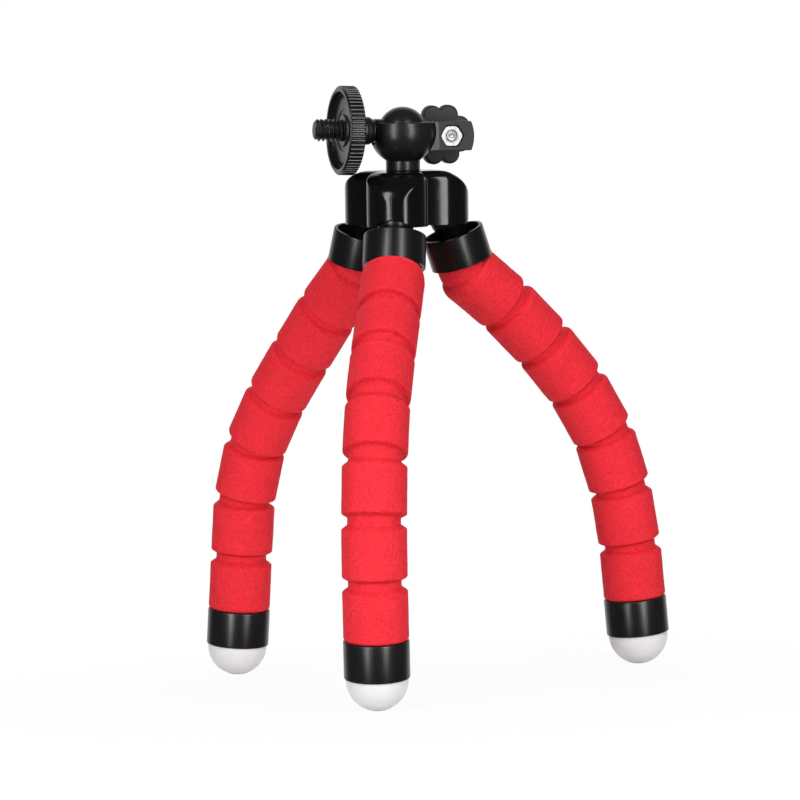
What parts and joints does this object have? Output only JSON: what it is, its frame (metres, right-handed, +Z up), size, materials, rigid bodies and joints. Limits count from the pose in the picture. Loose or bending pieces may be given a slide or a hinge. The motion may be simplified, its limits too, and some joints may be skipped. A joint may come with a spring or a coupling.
{
  "type": "mini tripod",
  "caption": "Small tripod with bendable foam-covered legs, white rubber feet, a clamped ball head, a knurled lock wheel and a camera screw.",
  "frame": {"origin": "on the ground, under the middle of the box round the standing tripod", "axes": "+Z up, +X to the right in the picture, +Y away from it, camera screw towards -X"},
  "size_m": [0.1358, 0.1386, 0.1716],
  "materials": {
    "red_foam": "fine open sponge, matte",
    "white_rubber": "smooth satin",
    "chain_plastic": "moulded, plain",
    "satin_black_plastic": "satin, moulded",
    "gloss_black_plastic": "glossy, moulded",
    "head_black_plastic": "half gloss, moulded",
    "matte_black_plastic": "matte, moulded",
    "blackened_steel": "black oxide",
    "zinc_steel": "bright zinc plate"
  },
  "bodies": {
    "tripod_hub": {"hub": "gloss_black_plastic", "hub_screw": "zinc_steel", "ball_cup": "head_black_plastic", "clamp_nut": "zinc_steel"},
    "ball": {"ball_stem": "head_black_plastic"},
    "screw": {"camera_screw": "blackened_steel"},
    "wheel": {"lock_wheel": "matte_black_plastic"},
    "clamp": {"clamp_knob": "matte_black_plastic", "clamp_bolt": "zinc_steel"},
    "front_leg_top": {"front_leg_collar": "satin_black_plastic"},
    "front_leg_joint_1": {"front_leg_link_1": "chain_plastic", "front_leg_foam_1": "red_foam"},
    "front_leg_joint_2": {"front_leg_link_2": "chain_plastic", "front_leg_foam_2": "red_foam"},
    "front_leg_joint_3": {"front_leg_link_3": "chain_plastic", "front_leg_foam_3": "red_foam"},
    "front_leg_joint_4": {"front_leg_link_4": "chain_plastic", "front_leg_foam_4": "red_foam"},
    "front_leg_joint_5": {"front_leg_link_5": "chain_plastic", "front_leg_foam_5": "red_foam"},
    "front_leg_joint_6": {"front_leg_link_6": "chain_plastic", "front_leg_foam_6": "red_foam"},
    "front_leg_joint_7": {"front_leg_link_7": "chain_plastic", "front_leg_foam_7": "red_foam", "front_leg_foot_collar": "satin_black_plastic", "front_leg_foot": "white_rubber"},
    "right_leg_top": {"right_leg_collar": "satin_black_plastic"},
    "right_leg_joint_1": {"right_leg_link_1": "chain_plastic", "right_leg_foam_1": "red_foam"},
    "right_leg_joint_2": {"right_leg_link_2": "chain_plastic", "right_leg_foam_2": "red_foam"},
    "right_leg_joint_3": {"right_leg_link_3": "chain_plastic", "right_leg_foam_3": "red_foam"},
    "right_leg_joint_4": {"right_leg_link_4": "chain_plastic", "right_leg_foam_4": "red_foam"},
    "right_leg_joint_5": {"right_leg_link_5": "chain_plastic", "right_leg_foam_5": "red_foam"},
    "right_leg_joint_6": {"right_leg_link_6": "chain_plastic", "right_leg_foam_6": "red_foam"},
    "right_leg_joint_7": {"right_leg_link_7": "chain_plastic", "right_leg_foam_7": "red_foam", "right_leg_foot_collar": "satin_black_plastic", "right_leg_foot": "white_rubber"},
    "left_leg_top": {"left_leg_collar": "satin_black_plastic"},
    "left_leg_joint_1": {"left_leg_link_1": "chain_plastic", "left_leg_foam_1": "red_foam"},
    "left_leg_joint_2": {"left_leg_link_2": "chain_plastic", "left_leg_foam_2": "red_foam"},
    "left_leg_joint_3": {"left_leg_link_3": "chain_plastic", "left_leg_foam_3": "red_foam"},
    "left_leg_joint_4": {"left_leg_link_4": "chain_plastic", "left_leg_foam_4": "red_foam"},
    "left_leg_joint_5": {"left_leg_link_5": "chain_plastic", "left_leg_foam_5": "red_foam"},
    "left_leg_joint_6": {"left_leg_link_6": "chain_plastic", "left_leg_foam_6": "red_foam"},
    "left_leg_joint_7": {"left_leg_link_7": "chain_plastic", "left_leg_foam_7": "red_foam", "left_leg_foot_collar": "satin_black_plastic", "left_leg_foot": "white_rubber"}
  },
  "joints": [
    {"name": "ball_tilt", "type": "hinge", "parent": "tripod_hub", "child": "ball", "pos_m": [-0.00433, 0.00601, 0.15807], "axis": [-0.3002, 0.953, 0.0421], "range_deg": [-2, 118]},
    {"name": "camera_roll", "type": "hinge", "parent": "ball", "child": "screw", "pos_m": [-0.00433, 0.00601, 0.15807], "axis": [-0.9521, -0.302, 0.0487], "continuous": true},
    {"name": "lock_wheel_spin", "type": "hinge", "parent": "screw", "child": "wheel", "pos_m": [-0.02256, 0.00023, 0.15901], "axis": [-0.9521, -0.302, 0.0487], "continuous": true},
    {"name": "clamp_turn", "type": "hinge", "parent": "tripod_hub", "child": "clamp", "pos_m": [0.00978, 0.00523, 0.15618], "axis": [-0.2244, 0.9736, 0.0409], "continuous": true},
    {"name": "front_leg_hip", "type": "hinge", "parent": "tripod_hub", "child": "front_leg_top", "pos_m": [-0.00734, -0.00636, 0.13238], "axis": [-0.9926, 0.1179, 0.03], "range_deg": [-21, 15]},
    {"name": "front_leg_bend_1", "type": "hinge", "parent": "front_leg_top", "child": "front_leg_joint_1", "pos_m": [-0.00838, -0.01139, 0.11765], "axis": [0.9926, -0.1179, -0.03], "range_deg": [-7, 69]},
    {"name": "front_leg_bend_2", "type": "hinge", "parent": "front_leg_joint_1", "child": "front_leg_joint_2", "pos_m": [-0.01025, -0.02438, 0.10669], "axis": [-0.9926, 0.1179, 0.03], "range_deg": [-20, 16]},
    {"name": "front_leg_bend_3", "type": "hinge", "parent": "front_leg_joint_2", "child": "front_leg_joint_3", "pos_m": [-0.01216, -0.03775, 0.0962], "axis": [-0.9926, 0.1179, 0.03], "range_deg": [-11, 25]},
    {"name": "front_leg_bend_4", "type": "hinge", "parent": "front_leg_joint_3", "child": "front_leg_joint_4", "pos_m": [-0.01394, -0.04974, 0.08414], "axis": [0.9926, -0.1179, -0.03], "range_deg": [-35.5, 0.5]},
    {"name": "front_leg_bend_5", "type": "hinge", "parent": "front_leg_joint_4", "child": "front_leg_joint_5", "pos_m": [-0.01533, -0.05756, 0.06899], "axis": [0.9926, -0.1179, -0.03], "range_deg": [-35.5, 0.5]},
    {"name": "front_leg_bend_6", "type": "hinge", "parent": "front_leg_joint_5", "child": "front_leg_joint_6", "pos_m": [-0.01619, -0.06048, 0.05217], "axis": [-0.9926, 0.1179, 0.03], "range_deg": [-5, 31]},
    {"name": "front_leg_bend_7", "type": "hinge", "parent": "front_leg_joint_6", "child": "front_leg_joint_7", "pos_m": [-0.01659, -0.05957, 0.0351], "axis": [-0.9926, 0.1179, 0.03], "range_deg": [-14, 22]},
    {"name": "right_leg_hip", "type": "hinge", "parent": "tripod_hub", "child": "right_leg_top", "pos_m": [0.0077, 0.01154, 0.13264], "axis": [0.4964, -0.867, -0.0441], "range_deg": [-19.5, 16.5]},
    {"name": "right_leg_bend_1", "type": "hinge", "parent": "right_leg_top", "child": "right_leg_joint_1", "pos_m": [0.01183, 0.01466, 0.11792], "axis": [-0.4964, 0.867, 0.0441], "range_deg": [-5.5, 70.5]},
    {"name": "right_leg_bend_2", "type": "hinge", "parent": "right_leg_joint_1", "child": "right_leg_joint_2", "pos_m": [0.02325, 0.02174, 0.10734], "axis": [0.4964, -0.867, -0.0441], "range_deg": [-12.5, 23.5]},
    {"name": "right_leg_bend_3", "type": "hinge", "parent": "right_leg_joint_2", "child": "right_leg_joint_3", "pos_m": [0.03371, 0.02833, 0.09553], "axis": [0.4964, -0.867, -0.0441], "range_deg": [-13, 23]},
    {"name": "right_leg_bend_4", "type": "hinge", "parent": "right_leg_joint_3", "child": "right_leg_joint_4", "pos_m": [0.04321, 0.03442, 0.08268], "axis": [-0.4964, 0.867, 0.0441], "range_deg": [-27.5, 8.5]},
    {"name": "right_leg_bend_5", "type": "hinge", "parent": "right_leg_joint_4", "child": "right_leg_joint_5", "pos_m": [0.0507, 0.03945, 0.06815], "axis": [-0.4964, 0.867, 0.0441], "range_deg": [-31, 5]},
    {"name": "right_leg_bend_6", "type": "hinge", "parent": "right_leg_joint_5", "child": "right_leg_joint_6", "pos_m": [0.05511, 0.0428, 0.05197], "axis": [0.4964, -0.867, -0.0441], "range_deg": [-9.5, 26.5]},
    {"name": "right_leg_bend_7", "type": "hinge", "parent": "right_leg_joint_6", "child": "right_leg_joint_7", "pos_m": [0.05738, 0.04495, 0.03516], "axis": [0.4964, -0.867, -0.0441], "range_deg": [-13, 23]},
    {"name": "left_leg_hip", "type": "hinge", "parent": "tripod_hub", "child": "left_leg_top", "pos_m": [-0.01532, 0.01559, 0.13338], "axis": [0.706, 0.7082, 0.0072], "range_deg": [-17, 19]},
    {"name": "left_leg_bend_1", "type": "hinge", "parent": "left_leg_top", "child": "left_leg_joint_1", "pos_m": [-0.01894, 0.01934, 0.11868], "axis": [-0.706, -0.7082, -0.0072], "range_deg": [-9.5, 66.5]},
    {"name": "left_leg_bend_2", "type": "hinge", "parent": "left_leg_joint_1", "child": "left_leg_joint_2", "pos_m": [-0.02788, 0.02837, 0.10723], "axis": [0.706, 0.7082, 0.0072], "range_deg": [-13.5, 22.5]},
    {"name": "left_leg_bend_3", "type": "hinge", "parent": "left_leg_joint_2", "child": "left_leg_joint_3", "pos_m": [-0.03615, 0.03675, 0.09483], "axis": [0.706, 0.7082, 0.0072], "range_deg": [-16.5, 19.5]},
    {"name": "left_leg_bend_4", "type": "hinge", "parent": "left_leg_joint_3", "child": "left_leg_joint_4", "pos_m": [-0.04419, 0.04489, 0.08213], "axis": [-0.706, -0.7082, -0.0072], "range_deg": [-25, 11]},
    {"name": "left_leg_bend_5", "type": "hinge", "parent": "left_leg_joint_4", "child": "left_leg_joint_5", "pos_m": [-0.05107, 0.05189, 0.06812], "axis": [-0.706, -0.7082, -0.0072], "range_deg": [-33.5, 2.5]},
    {"name": "left_leg_bend_6", "type": "hinge", "parent": "left_leg_joint_5", "child": "left_leg_joint_6", "pos_m": [-0.05503, 0.056, 0.052], "axis": [0.706, 0.7082, 0.0072], "range_deg": [-6.5, 29.5]},
    {"name": "left_leg_bend_7", "type": "hinge", "parent": "left_leg_joint_6", "child": "left_leg_joint_7", "pos_m": [-0.05663, 0.05777, 0.03507], "axis": [0.706, 0.7082, 0.0072], "range_deg": [-17.5, 18.5]}
  ]
}
